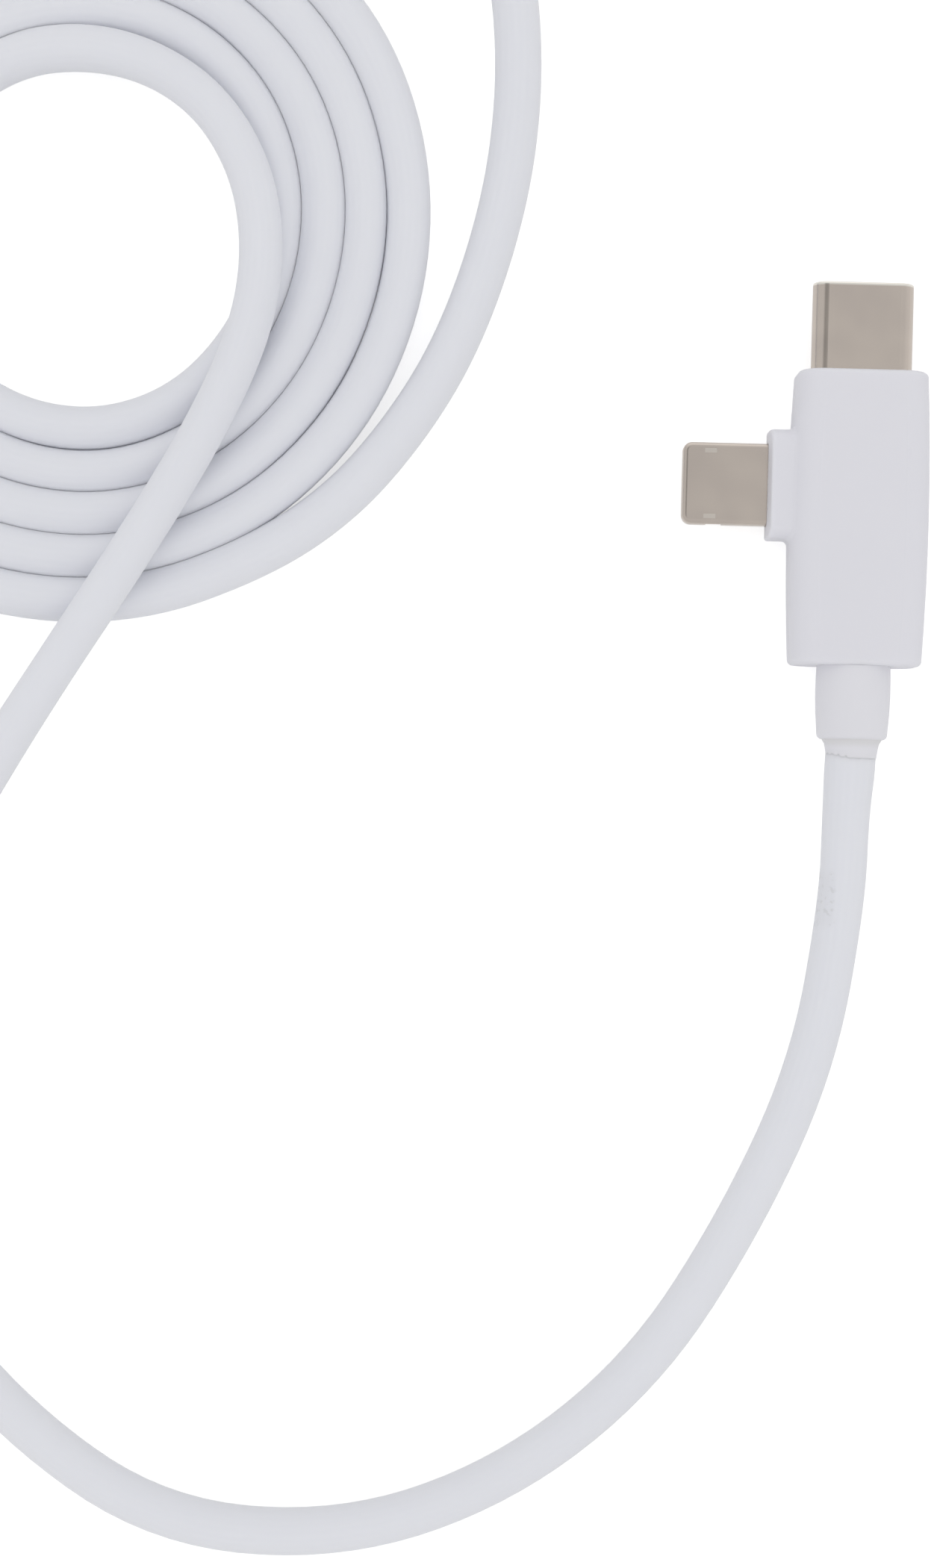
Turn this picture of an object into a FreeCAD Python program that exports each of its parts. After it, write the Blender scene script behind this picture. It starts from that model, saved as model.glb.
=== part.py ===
import FreeCAD, Part
import math
import os

from FreeCAD import Placement, Rotation, Vector

os.makedirs("parts", exist_ok=True)

# A charging cable with a T-shaped moulded head: an oval plug along +Y, a flat tab plug along -X and the
# cord leaving along -Y. All lies on the plane z = 0, and the origin is under the middle of the head.

# Moulded covers, shared by the head and by the plug at the far end
cover_thickness = 6.6
cover_edge_radius = 2.1
cover_end_round = 0.45
cover_wall = 0.9
end_wall = 0.9
lip_height = 0.7
lip_thickness = 0.4
fit_gap = 0.05
seam_width = 0.12
seam_depth = 0.08
pin_radius = 0.5
pin_height = 1.3
pin_socket_wall = 0.45
pin_side_inset = 1.92
post_radius = 0.5
post_edge_inset = 0.75

# Head
head_length = 23.9
head_width = 11.25
head_end_width = 10.6
head_pin_ys = [8.3, -7.4]
head_post_ys = [7.4, -3.7]

# Collar on the head's side, which the tab plug stands in
collar_reach = 1.9
collar_width = 8.9
collar_thickness = 4.6
collar_corner = 1.1
collar_rim_round = 0.25
collar_bow = 0.24
collar_root_round = 0.45
tab_y = 2.65

# Plug at the far end
far_length = 20.0
far_width = 10.9
far_end_width = 10.3
far_x = -71.0
far_y = 62.4
far_pin_y = -5.9
far_post_ys = [4.6, -1.4]

# Oval plug, with 12 contacts above and 12 below its slot
oval_width = 8.25
oval_height = 2.4
oval_reach = 7.35
oval_seat = 2.2
oval_wall = 0.25
oval_rim_round = 0.2
slot_width = 6.85
slot_height = 0.85
slot_depth = 6.3
mouth_recess = 0.3
mouth_length = 1.1
mouth_chamfer = 0.15
inner_gap = 0.02
contact_count = 12
contact_pitch = 0.5
contact_width = 0.22
contact_thickness = 0.12
contact_setback = 1.9
contact_bump = 0.14
contact_bump_length = 0.9
contact_bump_flat = 0.2
contact_tail = 1.3
groove_gap = 0.03
groove_end_wall = 0.3
carrier_back_wall = 0.2
latch_thickness = 0.15
latch_arm_width = 0.25
latch_arm_setback = 2.0
latch_hook = 0.3
latch_hook_length = 0.6
spring_thickness = 0.1
spring_width = 5.0
spring_length = 2.2
spring_slots = 3
spring_slot_width = 0.3
spring_slot_inset = 0.4
spring_setback = 0.4

# Tab plug, with 8 contacts on its underside
tab_width = 6.7
tab_thickness = 1.5
tab_reach = 6.9
tab_seat = 2.7
tab_tip_corner = 0.75
tab_edge_round = 0.4
tab_top_skin = 0.3
tab_bottom_skin = 0.2
tab_side_wall = 0.4
tab_tip_wall = 0.55
window_setback = 0.95
window_length = 3.4
window_width = 4.5
tab_contacts = 8
tab_pitch = 0.5
tab_contact_width = 0.3
tab_contact_length = 2.6
tab_contact_thickness = 0.12
tab_contact_proud = 0.02
tab_contact_inset = 0.3
tab_strip_gap = 0.03
tab_core_overlap = 0.1
recess_setback = 2.0
recess_length = 1.3
recess_depth = 0.25
stamp_setback = 1.78
stamp_length = 1.0
stamp_width = 0.4
stamp_inset = 0.67
stamp_depth = 0.05

# Circuit boards and what is soldered to them
board_thickness = 0.8
board_gap = 0.1
board_tab_gap = 0.35
head_board_end = -4.6
far_board_end = -2.4
board_corner = 0.5
chip_size = 3.0
chip_height = 0.75
chip_edge = 0.12
charge_chip_y = 4.4
signal_chip_size = 2.4
signal_chip_height = 0.6
signal_chip_y = -0.6
far_chip_y = 3.0
capacitor_length = 1.0
capacitor_width = 0.5
capacitor_pitch = 1.0
capacitor_count = 4
capacitor_first_y = 1.6
capacitor_inset = 2.4

# Strain relief, a soft barrel-shaped sleeve with its flange inside the covers
relief_length = 6.0
relief_root_radius = 3.0
relief_belly_radius = 3.05
relief_tip_radius = 2.85
relief_tip_round = 0.6
relief_neck_radius = 2.25
relief_flange_width = 7.0
relief_flange_length = 1.0
clamp_rib_width = 7.6
clamp_rib_length = 0.8
crimp_length = 2.0
crimp_wall = 0.35

# Cord and its four wires
cord_diameter = 3.8
cord_end_gap = 0.25
bore_gap = 0.02
wire_radius = 0.3
wire_spread = 0.5
wire_post_gap = 0.25
wire_pad_reach = 1.2
wire_straight = 0.5
crimp_seam = 0.2
bend_share = 0.45
end_bend_share = 0.9

# Hand-wound flat coil: half turns about two centres, so that each turn ends one pitch further out
coil_x = -64.3
coil_y = 21.8
coil_turns = 5
coil_pitch = 3.53
coil_inner_radius = 15.45
coil_seam = 111.5
coil_inner_end = 140.0

# Free stretches of the cord: the head's lead runs down, round and back over the coil, and drops inside it
lead_points = [
    (-0.3, -31.3, 2.1),
    (-2.3, -44.9, 1.9),
    (-8.1, -58.2, 1.9),
    (-15.7, -70.5, 1.9),
    (-26.8, -79.7, 1.9),
    (-40.1, -84.6, 1.9),
    (-55.0, -83.8, 1.9),
    (-67.2, -75.8, 1.9),
    (-76.8, -64.7, 1.9),
    (-81.2, -51.0, 1.9),
    (-78.5, -36.6, 1.9),
    (-71.8, -24.1, 2.2),
    (-65.9, -15.0, 4.8),
    (-59.9, -5.8, 6.0),
    (-54.6, 3.0, 5.9),
    (-51.1, 10.0, 5.8),
    (-49.2, 15.7, 5.7),
    (-48.8, 21.4, 5.6),
    (-50.0, 27.2, 5.3),
    (-53.2, 32.4, 4.9),
    (-57.9, 35.8, 4.3),
    (-63.5, 37.2, 3.7),
    (-69.5, 36.6, 2.4),
]
lead_end_run = 2.6

# The tail leaves the outermost turn and runs up and round to the far plug
tail_start_run = 5.0
tail_points = [
    (-42.4, 0.6, 1.9),
    (-37.5, 6.2, 1.9),
    (-33.6, 12.7, 1.9),
    (-30.8, 20.3, 1.9),
    (-29.0, 28.4, 1.9),
    (-28.5, 36.8, 1.9),
    (-29.4, 45.2, 1.9),
    (-32.6, 53.2, 1.9),
    (-38.2, 59.1, 2.2),
    (-45.7, 61.7, 3.0),
]
free_run = 0.5

# Worked out from the sizes above
cord_radius = cord_diameter / 2
mid_z = cover_thickness / 2
bore_radius = cord_radius + bore_gap
oval_inner_width = oval_width - 2 * oval_wall
oval_inner_height = oval_height - 2 * oval_wall
tail_z = board_thickness / 2 + inner_gap
collar_face = -head_width / 2 - collar_reach
tab_inner_end = collar_face + tab_seat
head_board_left = tab_inner_end + board_tab_gap
head_pin_x = head_width / 2 - pin_side_inset
head_board_right = head_pin_x - pin_radius - pin_socket_wall - board_gap
head_post_xs = [head_board_left + post_edge_inset, head_board_right - post_edge_inset]
far_pin_x = far_width / 2 - pin_side_inset
far_board_half = far_pin_x - pin_radius
far_post_xs = [post_edge_inset - far_board_half, far_board_half - post_edge_inset]
wire_post_reach = post_radius + wire_post_gap + wire_radius
carrier_back = oval_seat - carrier_back_wall


def box(x0, x1, y0, y1, z0, z1):
    """A block between its low and high corners."""
    return Part.makeBox(x1 - x0, y1 - y0, z1 - z0, Vector(x0, y0, z0))


def cylinder_y(radius, y0, y1):
    """A round bar along Y on the plug's axis."""
    return Part.makeCylinder(radius, y1 - y0, Vector(0, y0, 0), Vector(0, 1, 0))


def cylinder_z(radius, x, y, z0, z1):
    """A standing round bar."""
    return Part.makeCylinder(radius, z1 - z0, Vector(x, y, z0))


def ring(width, height, radius, y):
    """A rounded rectangle that stands across the Y axis at y."""
    half_w, half_h = width / 2, height / 2
    edges = []
    for turn, (sx, sz) in enumerate([(1, 1), (-1, 1), (-1, -1), (1, -1)]):
        centre = Vector(sx * (half_w - radius), y, sz * (half_h - radius))
        a0 = math.radians(90 * turn)
        ends = []
        for a in (a0, a0 + math.pi / 4, a0 + math.pi / 2):
            ends.append(centre + Vector(radius * math.cos(a), 0, radius * math.sin(a)))
        edges.append((ends[0], ends[1], ends[2]))
    made = []
    for k, (start, middle, end) in enumerate(edges):
        made.append(Part.Arc(start, middle, end).toShape())
        after = edges[(k + 1) % 4][0]
        if end.distanceToPoint(after) > 1e-6:
            made.append(Part.LineSegment(end, after).toShape())
    return Part.Wire(made)


def bar(width, height, radius, y0, y1):
    """A straight bar of rounded rectangular section along Y."""
    return Part.Face(ring(width, height, radius, y0)).extrude(Vector(0, y1 - y0, 0))


def oval(width, height, y0, y1):
    """A straight bar of oval section along Y."""
    return bar(width, height, height / 2 - 1e-4, y0, y1)


def barrel(length, width, end_width, inset, end_inset):
    """The covers' form, set in by an amount: a plan with bowed sides, drawn up and rounded along them."""
    half, end_half, height = length / 2 - end_inset, length / 2, cover_thickness / 2 - inset
    side = width / 2 - inset
    corner = side - (width - end_width) / 2 * (half / end_half) ** 2
    low = -height
    edges = [
        Part.Arc(Vector(corner, -half, low), Vector(side, 0, low), Vector(corner, half, low)),
        Part.LineSegment(Vector(corner, half, low), Vector(-corner, half, low)),
        Part.Arc(Vector(-corner, half, low), Vector(-side, 0, low), Vector(-corner, -half, low)),
        Part.LineSegment(Vector(-corner, -half, low), Vector(corner, -half, low)),
    ]
    plan = Part.Face(Part.Wire([edge.toShape() for edge in edges]))
    block = plan.extrude(Vector(0, 0, 2 * height))
    rims = edges_at(block, "Z", height) + edges_at(block, "Z", -height)
    return block.makeFillet(cover_edge_radius - inset, [e for e in rims if e.BoundBox.YLength > half])


def edges_at(shape, axis, value):
    """The edges of a shape that lie in the plane where the axis has the value."""
    found = []
    for edge in shape.Edges:
        low, high = getattr(edge.BoundBox, axis + "Min"), getattr(edge.BoundBox, axis + "Max")
        if abs(low - value) < 1e-3 and abs(high - value) < 1e-3:
            found.append(edge)
    return found


def body(length, width, end_width, inset):
    """The covers' outer form as one block with rounded ends, set in by an amount."""
    block = barrel(length, width, end_width, inset, inset)
    ends = edges_at(block, "Y", inset - length / 2) + edges_at(block, "Y", length / 2 - inset)
    return block.makeFillet(cover_end_round - inset, ends)


def collar(inset):
    """The collar at the head's side: a rounded block with a softened rim, set in by an amount.

    Its face is bowed a little, from the parting at mid height back to its upper and lower edges."""
    face = head_width / 2 + collar_reach - inset
    half_w, half_t = collar_width / 2 - inset, collar_thickness / 2 - inset
    low, high = Vector(-half_w, face - collar_bow, -half_t), Vector(-half_w, face - collar_bow, half_t)
    bowed = [
        Part.Arc(low, Vector(-half_w, face, 0), high),
        Part.LineSegment(high, Vector(-half_w, 0, half_t)),
        Part.LineSegment(Vector(-half_w, 0, half_t), Vector(-half_w, 0, -half_t)),
        Part.LineSegment(Vector(-half_w, 0, -half_t), low),
    ]
    profile = Part.Face(Part.Wire([edge.toShape() for edge in bowed]))
    block = bar(2 * half_w, 2 * half_t, collar_corner - inset, 0, face)
    block = block.common(profile.extrude(Vector(2 * half_w, 0, 0)))
    rim = [edge for edge in block.Edges if edge.BoundBox.YMin > face - 2 * collar_bow]
    block = block.makeFillet(collar_rim_round - inset, rim)
    block.rotate(Vector(0, 0, 0), Vector(0, 0, 1), 90)
    block.translate(Vector(0, tab_y, 0))
    return block


def shells(outer, core, length, width, end_width, openings, pins, posts):
    """Cuts an outer form into a lid and a base, with a lip, locating pins, board posts and a cord clamp.

    The core is the same form set in by the depth of the fine groove that shows where the halves meet."""
    cavity = barrel(length, width, end_width, cover_wall, end_wall)
    top, reach = cover_thickness, length
    band = box(-reach, reach, -reach, reach, -seam_width / 2, seam_width / 2)
    groove = outer.common(band).cut(core.common(band))
    wall = outer.cut(cavity).cut(groove)
    above = box(-reach, reach, -reach, reach, 0, top)
    below = box(-reach, reach, -reach, reach, -top, 0)
    lip_inset = cover_wall - lip_thickness
    lip = barrel(length, width, end_width, lip_inset, lip_inset).cut(cavity)
    lip = lip.common(box(-reach, reach, -reach, reach, -fit_gap, lip_height))
    room_inset = lip_inset - fit_gap
    room = barrel(length, width, end_width, room_inset, room_inset)
    room = room.common(box(-reach, reach, -reach, reach, 0, lip_height + fit_gap))
    lid, base = wall.common(above).cut(room), wall.common(below).fuse(lip)
    ceiling = mid_z - cover_wall
    overlap = cover_wall / 2
    rib_back = -length / 2 + end_wall + fit_gap + relief_flange_length + fit_gap
    for x, y in posts:
        base = base.fuse(cylinder_z(post_radius, x, y, -ceiling - overlap, -board_thickness / 2))
        lid = lid.fuse(cylinder_z(post_radius, x, y, board_thickness / 2 + fit_gap, ceiling + overlap))
    for x, y in pins:
        socket = cylinder_z(pin_radius + pin_socket_wall, x, y, lip_height, ceiling + overlap)
        base = base.fuse(cylinder_z(pin_radius, x, y, -ceiling - overlap, lip_height + pin_height))
        lid = lid.fuse(socket.common(barrel(length, width, end_width, lip_inset, lip_inset)))
        lid = lid.cut(cylinder_z(pin_radius + fit_gap, x, y, 0, lip_height + pin_height + fit_gap))
    for half, z0, z1 in ((1, fit_gap, ceiling + overlap), (-1, -ceiling - overlap, 0)):
        rib = box(-clamp_rib_width / 2, clamp_rib_width / 2, rib_back, rib_back + clamp_rib_length, z0, z1)
        rib = rib.cut(cylinder_y(bore_radius, rib_back - 1, rib_back + clamp_rib_length + 1))
        if half > 0:
            lid = lid.fuse(rib)
        else:
            base = base.fuse(rib)
    for cutter in openings:
        lid, base = lid.cut(cutter), base.cut(cutter)
    return lid.removeSplitter(), base.removeSplitter()


def oval_opening(front):
    """The hole that the oval plug's shell passes through."""
    depth = end_wall + 1
    return oval(oval_width + 2 * fit_gap, oval_height + 2 * fit_gap, front - depth, front + 1)


def relief_opening(back):
    """The round hole that the strain relief's neck passes through."""
    return cylinder_y(relief_neck_radius + fit_gap, back - 1, back + end_wall + fit_gap)


def tab_opening():
    """The flat slot in the collar that the tab plug passes through."""
    half_w, half_t = tab_width / 2 + fit_gap, tab_thickness / 2 + fit_gap
    slot = box(collar_face - 1, -head_width / 2 + 2, -half_w, half_w, -half_t, half_t)
    slot = slot.makeFillet(tab_edge_round, [e for e in slot.Edges if e.BoundBox.XLength > 1])
    slot.translate(Vector(0, tab_y, 0))
    return slot


def collar_root(shape):
    """The edges where the collar meets the head's side."""
    found = []
    side, half_w, half_t = -head_width / 2, collar_width / 2 + 0.01, collar_thickness / 2 + 0.01
    for edge in shape.Edges:
        bounds = edge.BoundBox
        beside = bounds.XMin > side - 0.01 and bounds.XMax < side + half_t
        along = abs(bounds.Center.y - tab_y) < half_w and bounds.YLength < collar_width
        level = bounds.ZMin > -half_t and bounds.ZMax < half_t
        if beside and along and level:
            found.append(edge)
    return found


def head_form(inset):
    """The head's outer form with the collar grown out of its side, set in by an amount."""
    form = body(head_length, head_width, head_end_width, inset).fuse(collar(inset))
    return form.makeFillet(collar_root_round + inset, collar_root(form))


def head_covers():
    """Lid and base of the T-shaped head, with the collar as part of both."""
    outer, core = head_form(0), head_form(seam_depth)
    openings = [oval_opening(head_length / 2), relief_opening(-head_length / 2), tab_opening()]
    pins = [(head_pin_x, y) for y in head_pin_ys]
    posts = [(x, y) for x in head_post_xs for y in head_post_ys]
    return shells(outer, core, head_length, head_width, head_end_width, openings, pins, posts)


def far_covers():
    """Lid and base of the straight plug at the far end."""
    outer = body(far_length, far_width, far_end_width, 0)
    core = body(far_length, far_width, far_end_width, seam_depth)
    openings = [oval_opening(far_length / 2), relief_opening(-far_length / 2)]
    pins = [(far_pin_x, far_pin_y), (-far_pin_x, far_pin_y)]
    posts = [(x, y) for x in far_post_xs for y in far_post_ys]
    return shells(outer, core, far_length, far_width, far_end_width, openings, pins, posts)


def strain_relief(length):
    """A soft sleeve: barrel outside the covers, neck through the end wall and a square flange inside."""
    back = -length / 2
    inside = back + end_wall + fit_gap
    tip = back - relief_length
    r0, r1, r2 = relief_root_radius, relief_belly_radius, relief_tip_radius
    root, belly = Vector(r0, back, 0), Vector(r1, back - relief_length * 0.42, 0)
    shoulder = Vector(r2, tip + relief_tip_round, 0)
    bend = relief_tip_round * (1 - math.sqrt(0.5))
    edges = [
        Part.LineSegment(Vector(bore_radius, tip, 0), Vector(bore_radius, inside, 0)),
        Part.LineSegment(Vector(bore_radius, inside, 0), Vector(relief_neck_radius, inside, 0)),
        Part.LineSegment(Vector(relief_neck_radius, inside, 0), Vector(relief_neck_radius, back, 0)),
        Part.LineSegment(Vector(relief_neck_radius, back, 0), root),
        Part.Arc(root, belly, shoulder),
        Part.Arc(shoulder, Vector(r2 - bend, tip + bend, 0), Vector(r2 - relief_tip_round, tip, 0)),
        Part.LineSegment(Vector(r2 - relief_tip_round, tip, 0), Vector(bore_radius, tip, 0)),
    ]
    profile = Part.Face(Part.Wire([edge.toShape() for edge in edges]))
    sleeve = profile.revolve(Vector(0, 0, 0), Vector(0, 1, 0), 360)
    half_w, half_h = relief_flange_width / 2, mid_z - cover_wall - fit_gap
    flange = box(-half_w, half_w, inside, inside + relief_flange_length, -half_h, half_h)
    flange = flange.makeFillet(end_wall, [e for e in flange.Edges if e.BoundBox.YLength > 0.5])
    return sleeve.fuse(flange.cut(cylinder_y(bore_radius, inside - 1, inside + 2))).removeSplitter()


def cord_start(length):
    """Where the cord's jacket ends inside the covers, ahead of its crimp."""
    rib_front = -length / 2 + end_wall + 2 * fit_gap + relief_flange_length + clamp_rib_length
    return rib_front + fit_gap + crimp_length + cord_end_gap


def cord_crimp(length):
    """The metal ring that is crimped round the jacket and stops it from being pulled out."""
    front = cord_start(length) - cord_end_gap
    ring_body = cylinder_y(bore_radius + crimp_wall, front - crimp_length, front)
    hole = cylinder_y(bore_radius, front - crimp_length - 1, front + 1)
    seam = box(-crimp_seam / 2, crimp_seam / 2, front - crimp_length - 1, front + 1, 0, 2 * bore_radius)
    return ring_body.cut(hole).cut(seam)


def contact_places(count, pitch):
    """The middles of a row of contacts."""
    return [(k - (count - 1) / 2) * pitch for k in range(count)]


def oval_shell(front):
    """The drawn metal shell of the oval plug."""
    tip = front + oval_reach
    shell = oval(oval_width, oval_height, front - oval_seat, tip)
    shell = shell.makeFillet(oval_rim_round, edges_at(shell, "Y", tip))
    return shell.cut(oval(oval_inner_width, oval_inner_height, front - oval_seat - 1, tip + 1))


def oval_mouth(front):
    """The front insulator: a plastic ring that leads the socket's tongue into the slot."""
    tip = front + oval_reach - mouth_recess
    block = oval(oval_inner_width - 2 * inner_gap, oval_inner_height - 2 * inner_gap, tip - mouth_length, tip)
    half_w, half_h = slot_width / 2, slot_height / 2
    block = block.cut(box(-half_w, half_w, tip - mouth_length - 1, tip + 1, -half_h, half_h))
    rim = [e for e in edges_at(block, "Y", tip) if abs(e.CenterOfMass.z) < half_h + 0.01]
    rim = [e for e in rim if abs(e.CenterOfMass.x) < half_w + 0.01]
    return block.makeChamfer(mouth_chamfer, rim)


def oval_carrier(front, side):
    """The plastic carrier of one row of contacts, above (side 1) or below (side -1) the slot."""
    tip = front + oval_reach - mouth_recess - mouth_length - inner_gap
    back = front - carrier_back
    slot_end = front + oval_reach - mouth_recess - slot_depth
    block = oval(oval_inner_width - 2 * inner_gap, oval_inner_height - 2 * inner_gap, back, tip)
    half_latch = latch_thickness / 2 + inner_gap
    block = block.cut(box(-oval_width, oval_width, slot_end, tip + 1, -oval_height, slot_height / 2))
    block = block.cut(box(-oval_width, oval_width, back - 1, tip + 1, -oval_height, half_latch))
    low = tail_z - groove_gap
    high = tail_z + contact_thickness + groove_gap
    for x in contact_places(contact_count, contact_pitch):
        half = contact_width / 2 + groove_gap
        block = block.cut(box(x - half, x + half, back - 1, tip - groove_end_wall, low, high))
    recess_z = oval_inner_height / 2 - inner_gap - spring_thickness - inner_gap
    half = spring_width / 2 + inner_gap
    y1 = tip - spring_setback + inner_gap
    block = block.cut(box(-half, half, y1 - spring_length - 2 * inner_gap, y1, recess_z, oval_height))
    if side < 0:
        block = block.mirror(Vector(0, 0, 0), Vector(0, 0, 1))
    return block


def oval_contacts(front, side):
    """One row of spring contacts: a flat beam each, with a bump into the slot and a tail on the board."""
    tip = front + oval_reach - contact_setback
    back = front - oval_seat - board_gap - contact_tail
    low, high = tail_z, tail_z + contact_thickness
    mid = tip - contact_bump_length / 2
    outline = [
        (back, low),
        (tip - contact_bump_length, low),
        (mid - contact_bump_flat / 2, low - contact_bump),
        (mid + contact_bump_flat / 2, low - contact_bump),
        (tip, low),
        (tip, high),
        (back, high),
    ]
    solids = []
    for x in contact_places(contact_count, contact_pitch):
        points = [Vector(x - contact_width / 2, y, z) for y, z in outline]
        face = Part.Face(Part.makePolygon(points + points[:1]))
        solids.append(face.extrude(Vector(contact_width, 0, 0)))
    row = Part.makeCompound(solids)
    if side < 0:
        row = row.mirror(Vector(0, 0, 0), Vector(0, 0, 1))
    return row


def latch_plate(front):
    """The middle plate, whose two side arms grip the notches of a socket's tongue."""
    half = latch_thickness / 2
    slot_end = front + oval_reach - mouth_recess - slot_depth
    arm_in = slot_width / 2 + inner_gap
    arm_out = arm_in + latch_arm_width
    back = front - carrier_back
    arm_tip = front + oval_reach - latch_arm_setback
    plate = box(-arm_out, arm_out, back, slot_end - inner_gap, -half, half)
    for sx in (1, -1):
        xs = sorted((sx * arm_in, sx * arm_out))
        hook = sorted((sx * (arm_in - latch_hook), sx * arm_out))
        arm = box(xs[0], xs[1], back, arm_tip, -half, half)
        arm = arm.fuse(box(hook[0], hook[1], arm_tip - latch_hook_length, arm_tip, -half, half))
        plate = plate.fuse(arm)
    return plate.removeSplitter()


def ground_springs(front):
    """Two thin slotted plates that join the shell to a socket's ground, above and below."""
    tip = front + oval_reach - mouth_recess - mouth_length - inner_gap - spring_setback
    low = oval_inner_height / 2 - inner_gap - spring_thickness
    plate = box(-spring_width / 2, spring_width / 2, tip - spring_length, tip, low, low + spring_thickness)
    gap = spring_width / (spring_slots + 1)
    for k in range(spring_slots):
        x = -spring_width / 2 + gap * (k + 1)
        half = spring_slot_width / 2
        y0, y1 = tip - spring_length + spring_slot_inset, tip - spring_slot_inset
        plate = plate.cut(box(x - half, x + half, y0, y1, 0, oval_height))
    return Part.makeCompound([plate, plate.mirror(Vector(0, 0, 0), Vector(0, 0, 1))])


def tab_place(shape):
    """Puts a tab plug piece, built with its tip at x = 0 and pointing to -X, at its place in the collar."""
    shape.translate(Vector(collar_face - tab_reach, tab_y, 0))
    return shape


def tab_shell():
    """The tab plug's pressed metal case: plain on top, with an open window below and side recesses."""
    length = tab_reach + tab_seat
    half_w, half_t = tab_width / 2, tab_thickness / 2
    case = box(0, length, -half_w, half_w, -half_t, half_t)
    corners = [e for e in case.Edges if e.BoundBox.ZLength > 1 and e.CenterOfMass.x < 0.01]
    case = case.makeFillet(tab_tip_corner, corners)
    rims = edges_at(case, "Z", half_t) + edges_at(case, "Z", -half_t)
    case = case.makeFillet(tab_edge_round, [e for e in rims if e.CenterOfMass.x < length - 0.01])
    inner_w, ceiling = half_w - tab_side_wall, half_t - tab_top_skin
    case = case.cut(box(tab_tip_wall, length + 1, -inner_w, inner_w, tab_bottom_skin - half_t, ceiling))
    x0, x1, half = window_setback, window_setback + window_length, window_width / 2
    case = case.cut(box(x0, x1, -half, half, -half_t - 1, 0))
    for sy in (1, -1):
        ys = sorted((sy * (half_w - recess_depth), sy * (half_w + 1)))
        x0, x1 = recess_setback, recess_setback + recess_length
        case = case.cut(box(x0, x1, ys[0], ys[1], -half_t - 1, ceiling))
        y, half = sy * (half_w - stamp_inset), stamp_width / 2
        x0, x1 = stamp_setback, stamp_setback + stamp_length
        case = case.cut(box(x0, x1, y - half, y + half, half_t - stamp_depth, half_t + 1))
    return tab_place(case)


def tab_contact_cutters(gap):
    """Pad, riser and strip of each of the tab's contacts, made larger all round by a gap."""
    half_t = tab_thickness / 2
    strip_low = tab_bottom_skin - half_t + tab_strip_gap
    strip_high = strip_low + tab_contact_thickness
    pad_low = -half_t - tab_contact_proud
    pad_high = pad_low + tab_contact_thickness
    x0 = window_setback + tab_contact_inset
    x1 = x0 + tab_contact_length
    x2 = tab_reach + tab_seat + contact_tail
    solids = []
    for y in contact_places(tab_contacts, tab_pitch):
        y0, y1 = y - tab_contact_width / 2 - gap, y + tab_contact_width / 2 + gap
        pad = box(x0 - gap, x1 + gap, y0, y1, pad_low - gap, pad_high + gap)
        riser = box(x1 - tab_contact_thickness - gap, x1 + gap, y0, y1, pad_low, strip_high + gap)
        strip = box(x1 - tab_contact_thickness - gap, x2 + gap, y0, y1, strip_low - gap, strip_high + gap)
        solids.append(pad.fuse(riser).fuse(strip).removeSplitter())
    return solids


def tab_carrier():
    """The plastic core of the tab, which fills its case and shows in the window below."""
    length = tab_reach + tab_seat
    half_w, half_t = tab_width / 2 - tab_side_wall - inner_gap, tab_thickness / 2
    low, high = tab_bottom_skin - half_t + inner_gap, half_t - tab_top_skin - inner_gap
    core = box(tab_tip_wall + inner_gap, length, -half_w, half_w, low, high)
    raised = box(window_setback + inner_gap, window_setback + window_length - inner_gap,
                 -window_width / 2 + inner_gap, window_width / 2 - inner_gap, -half_t, low + tab_core_overlap)
    core = core.fuse(raised)
    for cutter in tab_contact_cutters(inner_gap):
        core = core.cut(cutter)
    return tab_place(core.removeSplitter())


def tab_contact_row():
    """The tab's eight contacts."""
    return tab_place(Part.makeCompound(tab_contact_cutters(0)))


def head_board():
    """The head's circuit board, which both plugs and the wires are soldered to."""
    front = head_length / 2 - oval_seat - board_gap
    half = board_thickness / 2
    board = box(head_board_left, head_board_right, head_board_end, front, -half, half)
    corners = [e for e in board.Edges if e.BoundBox.ZLength > board_thickness / 2]
    return board.makeFillet(board_corner, corners)


def far_board():
    """The far plug's circuit board."""
    front = far_length / 2 - oval_seat - board_gap
    half = board_thickness / 2
    board = box(-far_board_half, far_board_half, far_board_end, front, -half, half)
    corners = [e for e in board.Edges if e.BoundBox.ZLength > board_thickness / 2]
    return board.makeFillet(board_corner, corners)


def chip(x, y, size, height, side):
    """A square chip soldered on the board's top (side 1) or underside (side -1)."""
    low = board_thickness / 2
    block = box(x - size / 2, x + size / 2, y - size / 2, y + size / 2, low, low + height)
    block = block.makeChamfer(chip_edge, edges_at(block, "Z", low + height))
    if side < 0:
        block = block.mirror(Vector(0, 0, 0), Vector(0, 0, 1))
    return block


def capacitors(x, y, count):
    """A row of small capacitors on the board's top."""
    low = board_thickness / 2
    made = []
    for k in range(count):
        yk = y - k * capacitor_pitch
        made.append(box(x, x + capacitor_length, yk - capacitor_width / 2, yk + capacitor_width / 2,
                        low, low + capacitor_width))
    return Part.makeCompound(made)


def bends(points):
    """Each corner of a route as (start of arc, middle of arc, end of arc, radius)."""
    made = []
    last = len(points) - 2
    for k, (before, corner, after) in enumerate(zip(points, points[1:], points[2:]), 1):
        back, ahead = before - corner, after - corner
        back_share = end_bend_share if k == 1 else bend_share
        ahead_share = end_bend_share if k == last else bend_share
        reach = min(back_share * back.Length, ahead_share * ahead.Length)
        turn = math.pi - back.getAngle(ahead)
        radius = reach / math.tan(turn / 2)
        back.normalize()
        ahead.normalize()
        inward = back + ahead
        inward.normalize()
        depth = radius / math.cos(turn / 2) - radius
        made.append((corner + back * reach, corner + inward * depth, corner + ahead * reach, radius))
    return made


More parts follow.
